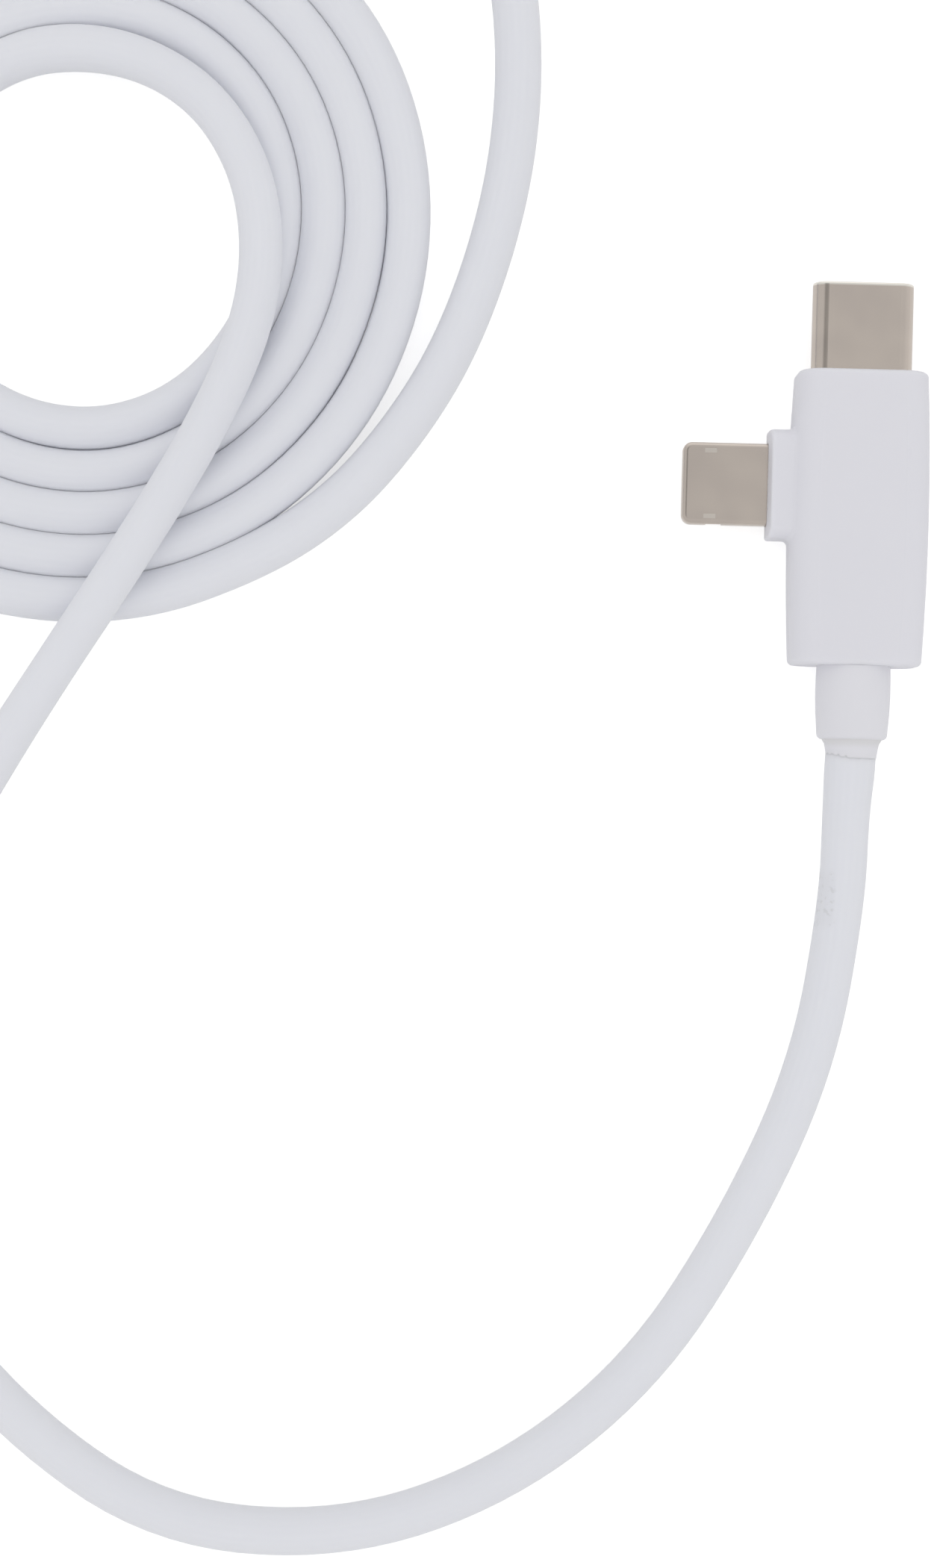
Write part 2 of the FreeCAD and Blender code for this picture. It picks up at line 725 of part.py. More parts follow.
def route(points):
    """A path of straight runs joined by tangent arcs, each arc as large as its runs allow."""
    edges, at = [], points[0]
    for start, middle, end, _ in bends(points):
        edges.append(Part.LineSegment(at, start).toShape())
        edges.append(Part.Arc(start, middle, end).toShape())
        at = end
    edges.append(Part.LineSegment(at, points[-1]).toShape())
    return Part.Wire(edges)


def tube(points, radius):
    """A round cord along a route."""
    path = route(points)
    heading = points[1] - points[0]
    section = Part.Wire(Part.makeCircle(radius, points[0], heading))
    return path.makePipeShell([section], True, False), path.Length


def coil_side(first_radius, turns, centre, start_angle, sweep):
    """Part of a turn of the coil: touching turns side by side with round outer edges, as one solid."""
    inner = first_radius - cord_radius
    outer = first_radius + (turns - 1) * coil_pitch + cord_radius
    r = cord_radius
    edges = [
        Part.LineSegment(Vector(inner + r, 0, 0), Vector(outer - r, 0, 0)),
        Part.Arc(Vector(outer - r, 0, 0), Vector(outer, 0, r), Vector(outer - r, 0, 2 * r)),
        Part.LineSegment(Vector(outer - r, 0, 2 * r), Vector(inner + r, 0, 2 * r)),
        Part.Arc(Vector(inner + r, 0, 2 * r), Vector(inner, 0, r), Vector(inner + r, 0, 0)),
    ]
    face = Part.Face(Part.Wire([edge.toShape() for edge in edges]))
    side = face.revolve(Vector(0, 0, 0), Vector(0, 0, 1), sweep)
    side.rotate(Vector(0, 0, 0), Vector(0, 0, 1), start_angle)
    side.translate(centre)
    return side


def unit(angle):
    """The direction at an angle from +X, in degrees."""
    return Vector(math.cos(math.radians(angle)), math.sin(math.radians(angle)), 0)


def coil():
    """The flat coil: the left half turns about one centre, and the right ones about one half a pitch away."""
    centre = Vector(coil_x, coil_y, 0)
    shifted = centre + unit(coil_seam) * (coil_pitch / 2)
    first_sweep = coil_inner_end - coil_seam
    right = coil_side(coil_inner_radius + coil_pitch / 2, coil_turns - 1, shifted, coil_seam - 180, 180)
    first = coil_side(coil_inner_radius + coil_pitch, coil_turns - 1, centre, coil_seam, first_sweep)
    left = coil_side(coil_inner_radius, coil_turns, centre, coil_inner_end, 180 - first_sweep)
    return right.fuse([first, left]).removeSplitter()


def lead_route():
    """The lead's points from the head's crimp to the coil's inner end."""
    start = cord_start(head_length)
    leave = -head_length / 2 - relief_length - free_run
    centre = Vector(coil_x, coil_y, cord_radius)
    end = centre + unit(coil_inner_end) * coil_inner_radius
    before = end - unit(coil_inner_end + 90) * lead_end_run
    first = [Vector(0, start, mid_z), Vector(0, leave, mid_z)]
    return first + [Vector(*p) for p in lead_points] + [before, end]


def tail_route():
    """The tail's points from the coil's outer end to the far plug's crimp."""
    centre = Vector(coil_x, coil_y, cord_radius)
    angle = coil_seam - 180
    outer = coil_inner_radius + (coil_turns - 1) * coil_pitch
    start = centre + unit(angle) * outer
    after = start + unit(angle + 90) * tail_start_run
    enter = far_x + far_length / 2 + relief_length + free_run
    end = far_x - cord_start(far_length)
    last = [Vector(enter, far_y, mid_z), Vector(end, far_y, mid_z)]
    return [start, after] + [Vector(*p) for p in tail_points] + last


def wires(length, board_end, post_x):
    """The four wires from the jacket's end to the board, inside its posts: two on top and two below."""
    start = cord_start(length)
    height = board_thickness / 2 + wire_radius + inner_gap
    pad = board_end + wire_pad_reach
    made = {}
    for colour, sx, sz in (("red", -1, 1), ("black", 1, 1), ("white", -1, -1), ("green", 1, -1)):
        x, z = sx * wire_spread, sz * wire_spread
        px = sx * (post_x - wire_post_reach)
        points = [
            Vector(x, start, z),
            Vector(x, start + wire_straight, z),
            Vector(px, board_end - wire_radius, sz * height),
            Vector(px, pad, sz * height),
        ]
        made[colour] = tube(points, wire_radius)[0]
    return made


def plug_end(length, board_end, post_x):
    """The pieces that both ends share, in the plug's own frame with its axis along +Y."""
    front = length / 2
    made = {
        "strain_relief": strain_relief(length),
        "cord_crimp": cord_crimp(length),
        "oval_shell": oval_shell(front),
        "oval_mouth": oval_mouth(front),
        "oval_carrier_upper": oval_carrier(front, 1),
        "oval_carrier_lower": oval_carrier(front, -1),
        "oval_contacts_upper": oval_contacts(front, 1),
        "oval_contacts_lower": oval_contacts(front, -1),
        "oval_latch_plate": latch_plate(front),
        "oval_ground_springs": ground_springs(front),
    }
    for colour, wire in wires(length, board_end, post_x).items():
        made["wire_" + colour] = wire
    return made


def head():
    """All pieces of the T-shaped head."""
    made = plug_end(head_length, head_board_end, head_post_xs[1])
    made["head_lid"], made["head_base"] = head_covers()
    made["tab_shell"] = tab_shell()
    made["tab_carrier"] = tab_carrier()
    made["tab_contacts"] = tab_contact_row()
    made["main_board"] = head_board()
    middle = (head_board_left + head_board_right) / 2
    made["charge_chip"] = chip(middle, charge_chip_y, chip_size, chip_height, 1)
    made["signal_chip"] = chip(middle, signal_chip_y, signal_chip_size, signal_chip_height, -1)
    first_x = head_board_right - capacitor_inset
    made["board_capacitors"] = capacitors(first_x, capacitor_first_y, capacitor_count)
    return made


def far_plug():
    """All pieces of the plug at the cord's far end."""
    pieces = plug_end(far_length, far_board_end, far_post_xs[1])
    made = {"far_" + name: shape for name, shape in pieces.items()}
    made["far_lid"], made["far_base"] = far_covers()
    made["far_board"] = far_board()
    made["far_chip"] = chip(0, far_chip_y, signal_chip_size, signal_chip_height, 1)
    return made


def save(name, shape, place):
    """Puts a piece at its place and writes it."""
    moved = shape.copy()
    moved.Placement = place.multiply(shape.Placement)
    moved.exportStep(f"parts/{name}.step")
    return moved


def main():
    """Builds every piece, prints the cord's bends and sizes and writes the files."""
    head_place = Placement(Vector(0, 0, mid_z), Rotation())
    far_place = Placement(Vector(far_x, far_y, mid_z), Rotation(Vector(0, 0, 1), 90))
    table = Placement()
    for name, shape in head().items():
        save(name, shape, head_place)
    for name, shape in far_plug().items():
        save(name, shape, far_place)
    save("cord_coil", coil(), table)
    for name, points in (("cord_lead", lead_route()), ("cord_tail", tail_route())):
        solid, length = tube(points, cord_radius)
        save(name, solid, table)
        radii = [round(bend[3], 1) for bend in bends(points)]
        print(name, "bend radii", radii)
        print(name, "length", round(length, 1), "volume share",
              round(solid.Volume / (math.pi * cord_radius ** 2 * length), 5))


main()
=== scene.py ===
import math

import bmesh
import bpy
from mathutils import Matrix, Vector


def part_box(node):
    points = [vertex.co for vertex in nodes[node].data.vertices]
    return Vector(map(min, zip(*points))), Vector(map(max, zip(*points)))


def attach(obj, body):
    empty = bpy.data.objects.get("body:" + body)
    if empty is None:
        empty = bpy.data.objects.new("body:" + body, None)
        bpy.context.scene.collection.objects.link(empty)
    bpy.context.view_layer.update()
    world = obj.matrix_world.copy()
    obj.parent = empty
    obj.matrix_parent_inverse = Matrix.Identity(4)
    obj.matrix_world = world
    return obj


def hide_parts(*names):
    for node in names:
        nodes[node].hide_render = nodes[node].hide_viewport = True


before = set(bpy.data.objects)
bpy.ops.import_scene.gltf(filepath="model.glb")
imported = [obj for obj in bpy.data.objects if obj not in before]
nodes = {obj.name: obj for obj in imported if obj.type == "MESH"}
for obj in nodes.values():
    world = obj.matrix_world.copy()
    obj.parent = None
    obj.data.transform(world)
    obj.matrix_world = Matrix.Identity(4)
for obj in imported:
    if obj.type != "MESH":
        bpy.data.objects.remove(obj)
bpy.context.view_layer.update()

mm = 0.001

# Camera
# The photograph looks straight down on the table, and the head lies far out to the right in it, so that a
# little of each piece's left side shows. The lens is set for the photograph's long side.
eye = Vector((-31.33, -22.40, 230.0)) * mm
camera_turn = math.radians(1.516)
bpy.ops.object.camera_add(location=eye, rotation=(0, 0, camera_turn))
camera = bpy.context.object
camera.name = "camera"
camera.data.lens = 63.66
camera.data.sensor_width = 36.0
camera.data.clip_start = 0.01
camera.data.clip_end = 10.0
bpy.context.scene.camera = camera

# Light and ground
# The object lies in a white light tent on a white sheet, and the tent's roof is a little brighter than its
# walls. Metal shows a dark opening near the camera instead, and brighter walls on the right and at the back.
bpy.context.scene.view_settings.view_transform = "Standard"
tent_glow, tent_roof, tent_right, tent_back, tent_opening = 0.80, 0.16, 0.11, 0.41, 0.40
right_edge, back_edge, roof_edge, opening_edge = (0.60, 1.00), (0.50, 1.00), (0.60, 1.00), (0.955, 0.985)
opening_toward = Vector((-0.24, 0.16, 0.957)).normalized()
sheet_white, sheet_bounce, sheet_glow, sheet_glint = 0.74, 0.09, 0.50, 0.26
sheet_size, sheet_gap = 4.0, 0.02 * mm


class Field:
    """A socket of a shader, so that sums and products of it are written as in Python."""

    def __init__(self, shader, socket):
        self.shader, self.socket = shader, socket

    def __add__(self, other):
        return self.shader.math("ADD", self, other)

    def __radd__(self, other):
        return self.shader.math("ADD", other, self)

    def __sub__(self, other):
        return self.shader.math("SUBTRACT", self, other)

    def __rsub__(self, other):
        return self.shader.math("SUBTRACT", other, self)

    def __mul__(self, other):
        return self.shader.math("MULTIPLY", self, other)

    def __rmul__(self, other):
        return self.shader.math("MULTIPLY", other, self)

    def __abs__(self):
        return self.shader.math("ABSOLUTE", self)

    def ramp(self, low, high):
        """0 below low, 1 above high and smooth between them; turned round where low is above high."""
        sockets = {"Value": self, "From Min": low, "From Max": high}
        return self.shader.node("ShaderNodeMapRange", {"interpolation_type": "SMOOTHSTEP"}, sockets)


class Shader:
    """A node tree that is filled in code: a material's or the world's."""

    def __init__(self, owner):
        owner.use_nodes = True
        self.tree = owner.node_tree
        self.tree.nodes.clear()

    def node(self, kind, settings, sockets, output=0):
        """Adds a node with its settings and its sockets' values or links, and gives one of its outputs."""
        made = self.tree.nodes.new(kind)
        for name, value in settings.items():
            setattr(made, name, value)
        for name, value in sockets.items():
            if isinstance(value, Field):
                self.tree.links.new(value.socket, made.inputs[name])
            else:
                made.inputs[name].default_value = value
        return Field(self, made.outputs[output]) if made.outputs else made

    def math(self, operation, *values):
        return self.node("ShaderNodeMath", {"operation": operation}, dict(enumerate(values)))


world = bpy.data.worlds.new("light_tent")
bpy.context.scene.world = world
tent = Shader(world)
seen = tent.node("ShaderNodeLightPath", {}, {}, "Is Camera Ray")
mirrored = tent.node("ShaderNodeLightPath", {}, {}, "Is Glossy Ray")
toward = tent.node("ShaderNodeTexCoord", {}, {}, "Generated")
rightward = tent.node("ShaderNodeSeparateXYZ", {}, {0: toward}, "X")
backward = tent.node("ShaderNodeSeparateXYZ", {}, {0: toward}, "Y")
upward = tent.node("ShaderNodeSeparateXYZ", {}, {0: toward}, "Z")
facing = {0: toward, 1: opening_toward}
opening = tent.node("ShaderNodeVectorMath", {"operation": "DOT_PRODUCT"}, facing, "Value")
walls = rightward.ramp(*right_edge) * tent_right + backward.ramp(*back_edge) * tent_back
walls = walls - opening.ramp(*opening_edge) * tent_opening
glow = tent_glow + mirrored * walls + (1 - mirrored) * upward.ramp(*roof_edge) * tent_roof
strength = seen + (1 - seen) * glow
lit = tent.node("ShaderNodeBackground", {}, {"Color": (1, 1, 1, 1), "Strength": strength})
tent.node("ShaderNodeOutputWorld", {}, {"Surface": lit})

bpy.ops.object.select_all(action="DESELECT")
bpy.ops.mesh.primitive_plane_add(size=sheet_size, location=(0, 0, -sheet_gap))
floor = bpy.context.object
floor.name = "floor"
sheet_material = bpy.data.materials.new("white_sheet")
sheet = Shader(sheet_material)
camera_ray = sheet.node("ShaderNodeLightPath", {}, {}, "Is Camera Ray")
glossy_ray = sheet.node("ShaderNodeLightPath", {}, {}, "Is Glossy Ray")
paper = sheet.node("ShaderNodeBsdfDiffuse", {}, {"Color": (sheet_white, sheet_white, sheet_white, 1)})
sheet_strength = sheet_bounce + camera_ray * sheet_glow + glossy_ray * sheet_glint
shine = sheet.node("ShaderNodeEmission", {}, {"Color": (1, 1, 1, 1), "Strength": sheet_strength})
both = sheet.node("ShaderNodeAddShader", {}, {0: paper, 1: shine})
sheet.node("ShaderNodeOutputMaterial", {}, {"Surface": both})
floor.data.materials.append(sheet_material)

# Circuit boards
# One small glass-fibre board in each plug, green with copper tracks under the lacquer, 0.8 mm thick. The
# plug's contacts and the cord's wires are soldered to it, and posts in both covers hold it.
board_green, track_green, pad_tin = (0.012, 0.10, 0.035, 1), (0.03, 0.17, 0.06, 1), (0.62, 0.60, 0.57, 1)
track_pitch, link_pitch, pads_per_metre = 0.9 * mm, 1.3 * mm, 620


class Finish(Shader):
    """A material with one principled surface, whose patterns stand still on the object."""

    def __init__(self, name):
        self.material = bpy.data.materials.new(name)
        super().__init__(self.material)
        self.place = self.node("ShaderNodeTexCoord", {}, {}, "Object")

    def noise(self, scale, detail=2.0, place=None):
        """Soft spots, as many in a metre as the scale says."""
        sockets = {"Vector": place or self.place, "Scale": scale, "Detail": detail}
        return self.node("ShaderNodeTexNoise", {}, sockets)

    def stretched(self, scale):
        """The place on the object, with a scale of its own along each axis."""
        return self.node("ShaderNodeMapping", {}, {"Vector": self.place, "Scale": scale})

    def axis(self, name):
        """The place along one of the object's axes, in metres."""
        return self.node("ShaderNodeSeparateXYZ", {}, {0: self.place}, name)

    def mix(self, share, first, second):
        """The first colour, or the second where the share is 1."""
        sockets = {0: share, 6: first, 7: second}
        return self.node("ShaderNodeMix", {"data_type": "RGBA"}, sockets, 2)

    def bump(self, height, strength, distance):
        sockets = {"Height": height, "Strength": strength, "Distance": distance}
        return self.node("ShaderNodeBump", {}, sockets)

    def surface(self, color, roughness, **sockets):
        """Makes the surface. Other sockets are named with an underscore for each space."""
        values = {"Base Color": color, "Roughness": roughness}
        values.update({name.replace("_", " "): value for name, value in sockets.items()})
        made = self.node("ShaderNodeBsdfPrincipled", {}, values)
        self.node("ShaderNodeOutputMaterial", {}, {"Surface": made})

    def dress(self, *names):
        """Gives CAD nodes this finish."""
        for name in names:
            for slot in nodes[name].material_slots:
                slot.material = self.material


board = Finish("board_laminate")
bends = board.noise(900, 0) * 6
across_board = board.axis("X") * (2 * math.pi / track_pitch) + bends
along_board = board.axis("Y") * (2 * math.pi / link_pitch) + bends
tracks = board.math("SINE", across_board).ramp(0.55, 0.7)
links = board.math("SINE", along_board).ramp(0.80, 0.9)
copper = board.math("MAXIMUM", tracks, links)
weave = board.noise(5200, 1)
lacquer = board.mix(copper, board_green, track_green)
pad_sockets = {"Vector": board.place, "Scale": pads_per_metre, "Randomness": 0.4}
solder = board.node("ShaderNodeTexVoronoi", {}, pad_sockets, "Distance").ramp(0.16, 0.12)
board.surface(
    board.mix(solder, lacquer, pad_tin),
    0.32 + weave * 0.12,
    Metallic=solder,
    Normal=board.bump(copper * 0.6 + solder + weave * 0.1, 0.5, 0.03 * mm),
)
board.dress("main_board", "far_board")

# Chips and capacitors
# The charging chip sits on the head's board and the data chip under it, both black epoxy blocks, beside a
# row of tan ceramic capacitors with tinned ends. The far plug has one small chip.
epoxy_black, epoxy_gray = (0.012, 0.012, 0.013, 1), (0.03, 0.03, 0.032, 1)
ceramic_brown, ceramic_tan, end_tin = (0.36, 0.24, 0.13, 1), (0.45, 0.32, 0.19, 1), (0.66, 0.64, 0.60, 1)
tinned_from, tinned_to = 0.24 * mm, 0.26 * mm
epoxy = Finish("chip_plastic")
speckle = epoxy.noise(9000, 3)
epoxy.surface(
    epoxy.mix(speckle, epoxy_black, epoxy_gray),
    0.55 + speckle * 0.2,
    Normal=epoxy.bump(speckle, 0.4, 0.02 * mm),
)
epoxy.dress("charge_chip", "signal_chip", "far_chip")

ceramic = Finish("capacitor_ceramic")
row_low, row_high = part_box("board_capacitors")
from_middle = ceramic.axis("X") - (row_low[0] + row_high[0]) / 2
tinned = abs(from_middle).ramp(tinned_from, tinned_to)
crumb = ceramic.noise(7000, 2)
ceramic.surface(
    ceramic.mix(tinned, ceramic.mix(crumb, ceramic_brown, ceramic_tan), end_tin),
    0.4 + crumb * 0.15,
    Metallic=tinned,
    Normal=ceramic.bump(crumb + tinned, 0.4, 0.02 * mm),
)
ceramic.dress("board_capacitors")

# Wires
# Four thin stranded wires in soft coloured jackets, which run from the cord's end to the board and are
# soldered there: red and black carry the power, white and green the data.
wire_colors = {
    "red": ((0.50, 0.012, 0.010, 1), (0.62, 0.022, 0.018, 1)),
    "black": ((0.012, 0.012, 0.013, 1), (0.028, 0.028, 0.03, 1)),
    "white": ((0.68, 0.67, 0.64, 1), (0.78, 0.77, 0.74, 1)),
    "green": ((0.010, 0.20, 0.05, 1), (0.02, 0.28, 0.08, 1)),
}
for color, (dark, light) in wire_colors.items():
    insulation = Finish("wire_" + color)
    cloud = insulation.noise(1500, 2)
    insulation.surface(
        insulation.mix(cloud, dark, light),
        0.38 + cloud * 0.15,
        Normal=insulation.bump(insulation.noise(8000, 2), 0.25, 0.02 * mm),
    )
    insulation.dress("wire_" + color, "far_wire_" + color)

# Oval plugs
# Each has a drawn steel shell with a nickel finish, two black moulded carriers with twelve gilded spring
# contacts each, a middle plate whose arms grip the socket, and slotted ground springs.
nickel_dark, nickel_light = (0.532, 0.474, 0.428, 1), (0.586, 0.524, 0.467, 1)
# A lighter tone. At each oval shell's mouth it is a painted highlight for the rim's reflection, fading in
# over these distances from the mouth. On the tab's stamps it is their own lighter tone.
sheen_and_stamp_tone, rim_sheen_from, rim_sheen_to = (0.80, 0.77, 0.71, 1), 0.32 * mm, 0.20 * mm
moulded_black, glass_gray = (0.016, 0.016, 0.018, 1), (0.035, 0.035, 0.038, 1)
gilding, worn_gilding = (0.83, 0.60, 0.24, 1), (0.70, 0.56, 0.34, 1)
spring_dark, spring_light = (0.50, 0.48, 0.46, 1), (0.60, 0.58, 0.56, 1)


class Steel(Finish):
    """Nickel-plated steel with fine lines along the plug, as drawing or pressing leaves them."""

    def __init__(self, name, fine_lines):
        super().__init__(name)
        self.cloud = self.noise(300, 1)
        self.lines = self.noise(1.0, 2, self.stretched(fine_lines))

    def plate(self, bright):
        """Makes the surface, lighter where bright is 1."""
        plating = self.mix(self.cloud.ramp(0.2, 0.8), nickel_dark, nickel_light)
        self.surface(
            self.mix(bright, plating, sheen_and_stamp_tone),
            0.16 + self.cloud * 0.05 + self.lines * 0.06,
            Metallic=1.0,
            Normal=self.bump(self.lines, 0.05, 0.01 * mm),
        )


shell_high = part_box("oval_shell")[1]
far_shell_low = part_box("far_oval_shell")[0]
steel = Steel("plug_steel", (9000, 260, 9000))
# Painted highlight: the shell turns lighter over its last fraction of a millimetre at the mouth's rim.
steel.plate((shell_high[1] - steel.axis("Y")).ramp(rim_sheen_from, rim_sheen_to))
steel.dress("oval_shell")
far_steel = Steel("plug_steel_far", (260, 9000, 9000))
# Painted highlight: the far shell turns lighter over its last fraction of a millimetre at the mouth's rim.
far_steel.plate((far_steel.axis("X") - far_shell_low[0]).ramp(rim_sheen_from, rim_sheen_to))
far_steel.dress("far_oval_shell")

moulding = Finish("insulator_plastic")
glass_fibre = moulding.noise(1.0, 2, moulding.stretched((12000, 2500, 12000)))
moulding.surface(
    moulding.mix(glass_fibre, moulded_black, glass_gray),
    0.42 + glass_fibre * 0.15,
    Normal=moulding.bump(glass_fibre, 0.25, 0.01 * mm),
)
gold = Finish("contact_metal")
worn = gold.noise(2600, 3).ramp(0.62, 0.75)
gold.surface(
    gold.mix(worn, gilding, worn_gilding),
    0.20 + gold.noise(6000, 2) * 0.15,
    Metallic=1.0,
    Normal=gold.bump(gold.noise(9000, 2), 0.10, 0.01 * mm),
)
stainless = Finish("spring_steel")
rolled = stainless.noise(1.0, 3, stainless.stretched((400, 9000, 9000)))
stainless.surface(
    stainless.mix(rolled, spring_dark, spring_light),
    0.25 + rolled * 0.15,
    Metallic=1.0,
    Normal=stainless.bump(rolled, 0.12, 0.01 * mm),
)
for end in ("", "far_"):
    moulding.dress(end + "oval_mouth", end + "oval_carrier_upper", end + "oval_carrier_lower")
    gold.dress(end + "oval_contacts_upper", end + "oval_contacts_lower")
    stainless.dress(end + "oval_latch_plate", end + "oval_ground_springs")

# Tab plug
# A flat pressed steel case with rounded rims stands in the head's collar, with a faint stamp near each rim.
# Its plastic core fills it and shows in a window on the underside, with eight gilded contacts in it.
tab_low, tab_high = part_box("tab_shell")
stamp_start, stamp_end, stamp_soft_ends = 1.70 * mm, 2.85 * mm, 0.15 * mm
stamp_outer, stamp_inner, stamp_soft_sides, stamp_bright = 0.44 * mm, 0.90 * mm, 0.08 * mm, 0.35
tab_steel = Steel("plug_steel_tab", (260, 9000, 9000))
from_tip = tab_steel.axis("X") - tab_low[0]
from_axis = tab_steel.axis("Y") - (tab_low[1] + tab_high[1]) / 2
from_rim = (tab_high[1] - tab_low[1]) / 2 - abs(from_axis)
stamp = from_tip.ramp(stamp_start, stamp_start + stamp_soft_ends)
stamp = stamp * from_tip.ramp(stamp_end, stamp_end - stamp_soft_ends)
stamp = stamp * from_rim.ramp(stamp_outer, stamp_outer + stamp_soft_sides)
stamp = stamp * from_rim.ramp(stamp_inner, stamp_inner - stamp_soft_sides)
tab_steel.plate(stamp * stamp_bright)
tab_steel.dress("tab_shell")
moulding.dress("tab_carrier")
gold.dress("tab_contacts")

# Covers
# The head and the far plug each have a lid and a base, injection moulded in white plastic with a fine matt
# spark-eroded skin and glued together at mid height. The head's collar is part of both halves.
cover_white, cover_whiter = (0.800, 0.798, 0.848, 1), (0.822, 0.819, 0.868, 1)


def milky(share, depth):
    """Sockets of a plastic that lets a share of the light in, about as deep as the depth."""
    return {"Subsurface_Weight": share, "Subsurface_Radius": (1.0, 1.0, 1.0), "Subsurface_Scale": depth}


cover = Finish("cover_plastic")
cover_cloud = cover.noise(90, 2)
cover_grain = cover.noise(7000, 3)
cover.surface(
    cover.mix(cover_cloud, cover_white, cover_whiter),
    0.48 + cover_grain * 0.10,
    **milky(0.40, 0.5 * mm),
    Normal=cover.bump(cover_grain, 0.10, 0.015 * mm),
)
cover.dress("head_lid", "head_base", "far_lid", "far_base")

# Strain reliefs
# A soft sleeve moulded over the cord at each plug: a barrel with a short cone at its tip, a neck through
# the covers' end wall and a flange behind it. The mould leaves a fine line at mid height, and the cone is
# greyed with painted shade just past the tip. Inside the covers, a crimped steel ring holds the cord.
sleeve_low, sleeve_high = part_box("strain_relief")
sleeve_tip, sleeve_root, flange_end = sleeve_low[1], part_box("head_lid")[0][1], sleeve_high[1]
plug_axis = Vector((0, 0, (sleeve_low[2] + sleeve_high[2]) / 2))
tip_radius, neck_radius, bore_radius, mouth_radius = 2.85 * mm, 2.25 * mm, 2.0 * mm, 1.96 * mm
tip_round, tip_round_segments, sleeve_sides = 0.4 * mm, 6, 64
# Each ring of the barrel has its share of the length and its radius, and each of the cone its length and
# radius, in millimetres.
barrel_rings = [(0.0, 3.00), (0.18, 3.04), (0.42, 3.05), (0.65, 3.00), (0.82, 2.92)]
cone_rings = [(0.35, 2.24), (0.55, 2.12), (0.6, 2.04)]
flange_length, flange_half_width, flange_half_height = 1.0 * mm, 3.5 * mm, 2.35 * mm
relief_white, relief_whiter = (0.808, 0.805, 0.848, 1), (0.828, 0.825, 0.868, 1)
# Painted shade on the cone: its grey, how strongly it is mixed in, and how far past the tip it has faded
# out.
painted_shade_gray, painted_shade_strength, painted_shade_end = (0.60, 0.59, 0.53, 1), 0.28, 0.8 * mm
crimp_dull, crimp_bright = (0.45, 0.44, 0.43, 1), (0.58, 0.57, 0.55, 1)
nearly = 0.001 * mm


def pick(kind, test):
    """Selects the faces or edges whose vertices all pass a test, and nothing else."""
    bpy.ops.mesh.select_mode(type=kind)
    bpy.ops.mesh.select_all(action="DESELECT")
    cage = bmesh.from_edit_mesh(bpy.context.object.data)
    for part in cage.faces if kind == "FACE" else cage.edges:
        if all(test(corner.co) for corner in part.verts):
            part.select_set(True)
    bmesh.update_edit_mesh(bpy.context.object.data)


def ring(y):
    """A test for the vertices that lie at y along the plug."""
    return lambda co: abs(co.y - y) < nearly


def rim(y, radius):
    """A test for the vertices of a round rim about the plug's axis."""
    return lambda co: ring(y)(co) and abs((co - plug_axis).xz.length - radius) < 10 * nearly


def widen(x, z=None):
    """Scales what is selected away from the plug's axis, by x in width and by z, or x again, in height."""
    bpy.ops.transform.resize(value=(x, 1, x if z is None else z), center_override=plug_axis)


def pull(length):
    """Extrudes what is selected along the plug."""
    bpy.ops.mesh.extrude_region_move(TRANSFORM_OT_translate={"value": (0, length, 0)})


bpy.ops.object.select_all(action="DESELECT")
bpy.ops.mesh.primitive_cylinder_add(
    vertices=sleeve_sides,
    radius=tip_radius,
    depth=sleeve_root - sleeve_tip,
    location=plug_axis + Vector((0, (sleeve_root + sleeve_tip) / 2, 0)),
    rotation=(math.pi / 2, 0, 0),
)
sleeve = bpy.context.object
sleeve.name = "relief_sleeve"
bpy.ops.object.transform_apply(location=True, rotation=True, scale=True)
bpy.ops.object.mode_set(mode="EDIT")
barrel = [(sleeve_root + (sleeve_tip - sleeve_root) * share, radius * mm) for share, radius in barrel_rings]
for ring_y, _ in barrel[1:]:
    bpy.ops.mesh.select_all(action="SELECT")
    bpy.ops.mesh.bisect(plane_co=(0, ring_y, 0), plane_no=(0, 1, 0))
for ring_y, ring_radius in barrel:
    pick("EDGE", ring(ring_y))
    widen(ring_radius / tip_radius)
pick("EDGE", ring(sleeve_tip))
bpy.ops.mesh.bevel(offset=tip_round, segments=tip_round_segments, affect="EDGES")
pick("FACE", ring(sleeve_root))
bpy.ops.mesh.inset(thickness=barrel[0][1] - neck_radius)
pull(flange_end - flange_length - sleeve_root)
pull(0)
widen(flange_half_width / neck_radius, flange_half_height / neck_radius)
pull(flange_length)
bpy.ops.mesh.inset(thickness=0)
widen(bore_radius / flange_half_width, bore_radius / flange_half_height)
bpy.ops.mesh.delete(type="FACE")
pick("FACE", ring(sleeve_tip))
mouth_y, cone_radius = sleeve_tip, tip_radius - tip_round
for length, radius in cone_rings:
    pull(-length * mm)
    widen(radius * mm / cone_radius)
    mouth_y, cone_radius = mouth_y - length * mm, radius * mm
bpy.ops.mesh.inset(thickness=cone_radius - mouth_radius)
bpy.ops.mesh.delete(type="FACE")
at_flange, at_mouth = rim(flange_end, bore_radius), rim(mouth_y, mouth_radius)
pick("EDGE", lambda co: at_flange(co) or at_mouth(co))
bpy.ops.mesh.bridge_edge_loops()
bpy.ops.mesh.select_all(action="SELECT")
bpy.ops.mesh.normals_make_consistent(inside=False)
bpy.ops.object.mode_set(mode="OBJECT")
bpy.ops.object.shade_smooth_by_angle(angle=math.radians(35))

relief = Finish("relief_rubber")
relief_grain = relief.noise(6000, 3)
from_mid_height = relief.axis("Z") - plug_axis.z
mould_line = abs(from_mid_height).ramp(0.07 * mm, 0.02 * mm)
relief_unshaded = relief.mix(relief.noise(160, 2), relief_white, relief_whiter)
past_tip = sleeve_tip - relief.axis("Y")
